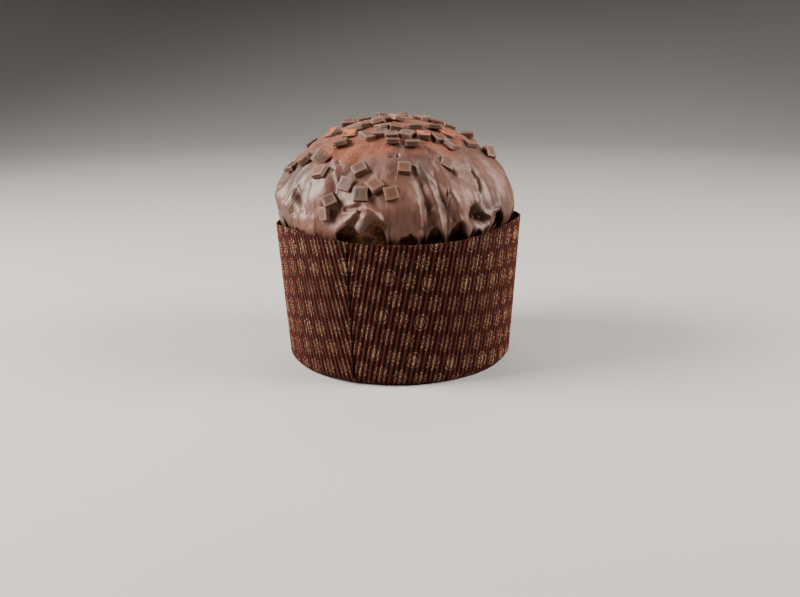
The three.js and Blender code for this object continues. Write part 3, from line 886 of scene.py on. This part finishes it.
def chocolate_coat_material():
    material, tree, surface = new_material("poured_milk_chocolate")
    coords = object_coords(tree)
    broad = grain(tree, coords, 30, 3)
    fine = grain(tree, coords, 1.3, 4, 0.6)
    patches = grain(tree, coords, 9, 5, 0.65)
    loose = calc(tree, "MULTIPLY_ADD", patches, 1.3, -0.65)
    dust = ramp(tree, calc(tree, "ADD", stored(tree, "cocoa"), loose), 0.3, 0.95)
    dust = times(tree, dust, calc(tree, "MULTIPLY_ADD", fine, 0.5, 0.55))
    milk = mixed(tree, ramp(tree, broad, 0.3, 0.7), srgb(46, 23, 15), srgb(80, 45, 32))
    cocoa = mixed(tree, ramp(tree, fine, 0.3, 0.7), srgb(62, 25, 8), srgb(122, 57, 21))
    tree.links.new(mixed(tree, dust, milk, cocoa), surface.inputs["Base Color"])
    satin = calc(tree, "MULTIPLY_ADD", broad, 0.2, 0.45)
    rough = add_node(tree, "ShaderNodeMix", {"Factor": dust, 2: satin, 3: 0.95}).outputs[0]
    tree.links.new(rough, surface.inputs["Roughness"])
    surface.inputs["Specular IOR Level"].default_value = 0.65
    surface.inputs["Specular Tint"].default_value = (1, 0.84, 0.76, 1)
    ripples = times(tree, grain(tree, coords, 6, 3), 0.45)
    powder = times(tree, fine, calc(tree, "MULTIPLY_ADD", dust, 0.22, 0.05))
    bump(tree, surface, calc(tree, "ADD", ripples, powder), 1.2)
    return material


def square_material():
    material, tree, surface = new_material("milk_chocolate_squares")
    coords = object_coords(tree)
    fine = grain(tree, coords, 1.6, 4, 0.6)
    tone = calc(tree, "ADD", times(tree, stored(tree, "tone"), 0.75), times(tree, fine, 0.25))
    bar = mixed(tree, tone, srgb(42, 23, 16), srgb(76, 48, 35))
    normal = add_node(tree, "ShaderNodeNewGeometry").outputs["Normal"]
    up = add_node(tree, "ShaderNodeSeparateXYZ", {0: normal}).outputs["Z"]
    dust = times(tree, stored(tree, "cocoa"), ramp(tree, up, 0.2, 0.9))
    dust = times(tree, dust, ramp(tree, grain(tree, coords, 3, 3), 0.35, 0.6))
    bloomed = mixed(tree, times(tree, stored(tree, "edge"), 0.35), bar, srgb(150, 112, 92))
    tree.links.new(mixed(tree, dust, bloomed, srgb(140, 74, 40)), surface.inputs["Base Color"])
    surface.inputs["Roughness"].default_value = 0.58
    surface.inputs["Specular IOR Level"].default_value = 0.3
    bump(tree, surface, fine, 0.25)
    return material


def crust_material():
    material, tree, surface = new_material("baked_crust")
    coords = object_coords(tree)
    crumb = grain(tree, coords, 2.2, 6, 0.7)
    spots = grain(tree, coords, 9, 3)
    baked = mixed(tree, ramp(tree, crumb, 0.3, 0.7), srgb(92, 52, 28), srgb(172, 118, 72))
    crust = mixed(tree, ramp(tree, spots, 0.35, 0.7), srgb(66, 38, 20), baked)
    tree.links.new(crust, surface.inputs["Base Color"])
    surface.inputs["Roughness"].default_value = 0.85
    bump(tree, surface, crumb, 1.2)
    return material


def stroke(tree, value, middle, half):
    """1 within half of the middle, fading to 0 just outside: a drawn line."""
    off = calc(tree, "ABSOLUTE", calc(tree, "SUBTRACT", value, middle))
    return calc(tree, "SUBTRACT", 1.0, ramp(tree, off, half * 0.6, half * 1.4))


def flower_share(tree, x, y):
    """Gold print on the flat sheet: rows of flowers, with an oval medallion in every fourth column."""
    row = calc(tree, "ROUND", calc(tree, "DIVIDE", y, PRINT_ROW))
    from_row = calc(tree, "SUBTRACT", y, times(tree, row, PRINT_ROW))
    odd = calc(tree, "FLOORED_MODULO", row, 2.0)
    shifted = calc(tree, "SUBTRACT", x, times(tree, odd, PRINT_COLUMN / 2))
    column = calc(tree, "ROUND", calc(tree, "DIVIDE", shifted, PRINT_COLUMN))
    from_column = calc(tree, "SUBTRACT", shifted, times(tree, column, PRINT_COLUMN))
    across = calc(tree, "DIVIDE", from_column, FLOWER_ACROSS)
    along = calc(tree, "DIVIDE", from_row, FLOWER_ALONG)
    radius = length(tree, across, along)
    angle = calc(tree, "ARCTAN2", along, across)

    petal_out, petal_narrow, petal_size, line = 0.66, 0.6, 0.27, 0.085
    turns = calc(tree, "DIVIDE", times(tree, angle, PETALS), 2 * math.pi)
    fold = calc(tree, "PINGPONG", turns, 0.5)
    off = times(tree, times(tree, fold, 2 * math.pi / PETALS), radius)
    off = calc(tree, "DIVIDE", off, petal_narrow)
    out = calc(tree, "SUBTRACT", radius, petal_out)
    petal = stroke(tree, length(tree, off, out), petal_size, line)
    heart, ring, fine_line = 0.16, 0.92, 0.07
    flower = calc(tree, "MAXIMUM", petal, stroke(tree, radius, heart, fine_line))

    inside = calc(tree, "SUBTRACT", 1.0, ramp(tree, radius, 0.6, 0.7))
    medallion = calc(tree, "MAXIMUM", stroke(tree, radius, ring, fine_line), inside)
    place = calc(tree, "ADD", times(tree, column, 2.0), odd)
    every_fourth = calc(tree, "LESS_THAN", calc(tree, "FLOORED_MODULO", place, 4.0), 0.5)
    return add_node(tree, "ShaderNodeMix", {"Factor": every_fourth, 2: flower, 3: medallion}).outputs[0]


def printed_paper_material():
    material, tree, surface = new_material("printed_brown_paper")
    coords = object_coords(tree)
    sheet = add_node(tree, "ShaderNodeUVMap")
    flat = add_node(tree, "ShaderNodeSeparateXYZ", {0: sheet.outputs["UV"]})
    x = times(tree, flat.outputs["X"], SHEET_UNIT)
    y = times(tree, flat.outputs["Y"], SHEET_UNIT)
    wave = calc(tree, "COSINE", times(tree, x, 2 * math.pi / FLUTE_PITCH))
    crest = ramp(tree, wave, 0.0, 0.9)
    worn = ramp(tree, grain(tree, coords, 1.2, 3, 0.7), 0.4, 0.56)
    faded = ramp(tree, grain(tree, coords, 26, 2), 0.3, 0.65)
    worn = times(tree, worn, calc(tree, "MULTIPLY_ADD", faded, 0.6, 0.4))
    # The gold thins into the flute valleys: partly the print sitting on the crests, partly painted
    # shade in the valleys.
    crest_print_and_painted_valley_shade = calc(tree, "MULTIPLY_ADD", crest, 0.7, 0.3)
    gold = times(tree, flower_share(tree, x, y), times(tree, crest_print_and_painted_valley_shade, worn))
    fibre = grain(tree, coords, 0.9, 3)
    # Painted light and shade: the flute crests are painted lighter and the valleys darker, with the
    # fibre's grain mixed in.
    fibre_and_painted_crest_light = calc(tree, "MULTIPLY_ADD", crest, 0.75, times(tree, fibre, 0.25))
    paper = mixed(tree, fibre_and_painted_crest_light, srgb(14, 3, 1), srgb(68, 23, 13))
    tree.links.new(mixed(tree, gold, paper, srgb(142, 110, 84)), surface.inputs["Base Color"])
    tree.links.new(times(tree, gold, 0.35), surface.inputs["Metallic"])
    surface.inputs["Roughness"].default_value = 0.72
    surface.inputs["Specular IOR Level"].default_value = 0.1
    bump(tree, surface, calc(tree, "ADD", fibre, times(tree, gold, 0.3)), 0.08)
    return material


def cut_edge_material():
    material, tree, surface = new_material("cut_paper_edge")
    fibre = grain(tree, object_coords(tree), 0.7, 4, 0.6)
    cut = mixed(tree, fibre, srgb(122, 74, 52), srgb(182, 132, 100))
    tree.links.new(cut, surface.inputs["Base Color"])
    surface.inputs["Roughness"].default_value = 0.8
    surface.inputs["Specular IOR Level"].default_value = 0.1
    bump(tree, surface, fibre, 0.08)
    return material


def plain_paper_material():
    material, tree, surface = new_material("plain_brown_paper")
    coords = object_coords(tree)
    fibre = grain(tree, coords, 1.2, 4, 0.6)
    tree.links.new(mixed(tree, fibre, srgb(62, 19, 10), srgb(94, 37, 22)), surface.inputs["Base Color"])
    surface.inputs["Roughness"].default_value = 0.7
    bump(tree, surface, fibre, 0.06)
    return material


def studio_material():
    material, tree, surface = new_material("pale_studio_paper")
    coords = object_coords(tree)
    height = add_node(tree, "ShaderNodeSeparateXYZ", {0: coords}).outputs["Z"]
    pale = mixed(tree, grain(tree, coords, 400, 2), srgb(148, 147, 145), srgb(156, 155, 153))
    wall = ramp(tree, height, 0.0, 0.6)
    tree.links.new(mixed(tree, wall, pale, srgb(78, 77, 76)), surface.inputs["Base Color"])
    surface.inputs["Roughness"].default_value = 0.75
    return material


# Studio


def studio_floor():
    """A pale round floor that curves up into a wall on all sides."""
    deselect_all()
    bpy.ops.mesh.primitive_cylinder_add(
        vertices=128, radius=STUDIO_R, depth=STUDIO_HEIGHT, location=(0, 0, STUDIO_HEIGHT / 2)
    )
    floor = named("studio_floor")
    bpy.ops.object.transform_apply(location=True)
    bpy.ops.object.mode_set(mode="EDIT")
    bpy.ops.mesh.select_all(action="SELECT")
    bpy.ops.mesh.flip_normals()
    bpy.ops.mesh.select_all(action="DESELECT")
    bpy.ops.mesh.select_mode(type="FACE")
    bpy.ops.object.mode_set(mode="OBJECT")
    for face in floor.data.polygons:
        face.select = face.center.z > STUDIO_HEIGHT - 0.1
    bpy.ops.object.mode_set(mode="EDIT")
    bpy.ops.mesh.delete(type="FACE")
    bpy.ops.mesh.select_mode(type="EDGE")
    bpy.ops.mesh.select_all(action="DESELECT")
    bpy.ops.object.mode_set(mode="OBJECT")
    for line in floor.data.edges:
        line.select = all(floor.data.vertices[v].co.z < 0.1 for v in line.vertices)
    bpy.ops.object.mode_set(mode="EDIT")
    bpy.ops.mesh.bevel(offset=STUDIO_BEND, segments=16)
    bpy.ops.object.mode_set(mode="OBJECT")
    shade(floor)
    floor.data.materials.append(studio_material())
    floor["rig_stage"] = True


def soft_light(name, azimuth_deg, height, distance, size, watts):
    azimuth = math.radians(azimuth_deg)
    place = Vector((distance * math.sin(azimuth), -distance * math.cos(azimuth), height))
    light = bpy.data.lights.new(name, "AREA")
    light.shape = "RECTANGLE"
    light.size, light.size_y = size
    light.energy = watts
    light.color = (1, 0.94, 0.89)
    light.spread = math.radians(120)
    lamp = bpy.data.objects.new(name, light)
    bpy.context.scene.collection.objects.link(lamp)
    lamp.visible_camera = False
    lamp.location = place
    lamp.rotation_euler = (Vector((0, 0, 0.1)) - place).to_track_quat("-Z", "Y").to_euler()


def studio_light():
    soft_light("left_softbox", -84, 0.75, 1.15, (0.9, 0.8), 41)
    soft_light("right_softbox", 80, 0.75, 1.2, (0.8, 0.8), 26)
    soft_light("top_light", 180, 1.4, 0.9, (0.9, 0.7), 6)
    world = bpy.data.worlds.new("studio_air")
    world.use_nodes = True
    world.node_tree.nodes["Background"].inputs["Color"].default_value = (0.86, 0.88, 0.9, 1)
    world.node_tree.nodes["Background"].inputs["Strength"].default_value = 0.03
    bpy.context.scene.world = world


def photo_camera():
    """The photograph's own view, fitted to the rim, the foot and the dome."""
    lens = bpy.data.cameras.new("photo_camera")
    lens.sensor_fit = "HORIZONTAL"
    lens.sensor_width = SENSOR_MM
    lens.lens = SENSOR_MM * FOCAL_PX / PHOTO_WIDTH_PX
    lens.clip_start = 0.01
    camera = bpy.data.objects.new("photo_camera", lens)
    bpy.context.scene.collection.objects.link(camera)
    down, roll = math.radians(CAMERA_DOWN_DEG), math.radians(CAMERA_ROLL_DEG)
    turned = Matrix.Rotation(math.pi / 2 - down, 4, "X") @ Matrix.Rotation(roll, 4, "Z")
    camera.matrix_world = Matrix.Translation(CAMERA_AT) @ turned
    bpy.context.scene.camera = camera


photo_camera()
plain_paper = plain_paper_material()
wall_papers = printed_paper_material(), plain_paper, cut_edge_material()
finish(mould_wall_piece(), "paper_mould", *wall_papers)
finish(mould_base_piece(), "paper_mould", plain_paper)
finish(bread_piece(), "bread", crust_material())
finish(coat_piece(), "chocolate_coat", chocolate_coat_material())
finish(square_pieces(), "chocolate_coat", square_material())
studio_floor()
studio_light()

boxes = {"cad": cad_box, "visual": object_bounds()}
{name: [list(corner) for corner in box] for name, box in boxes.items()}
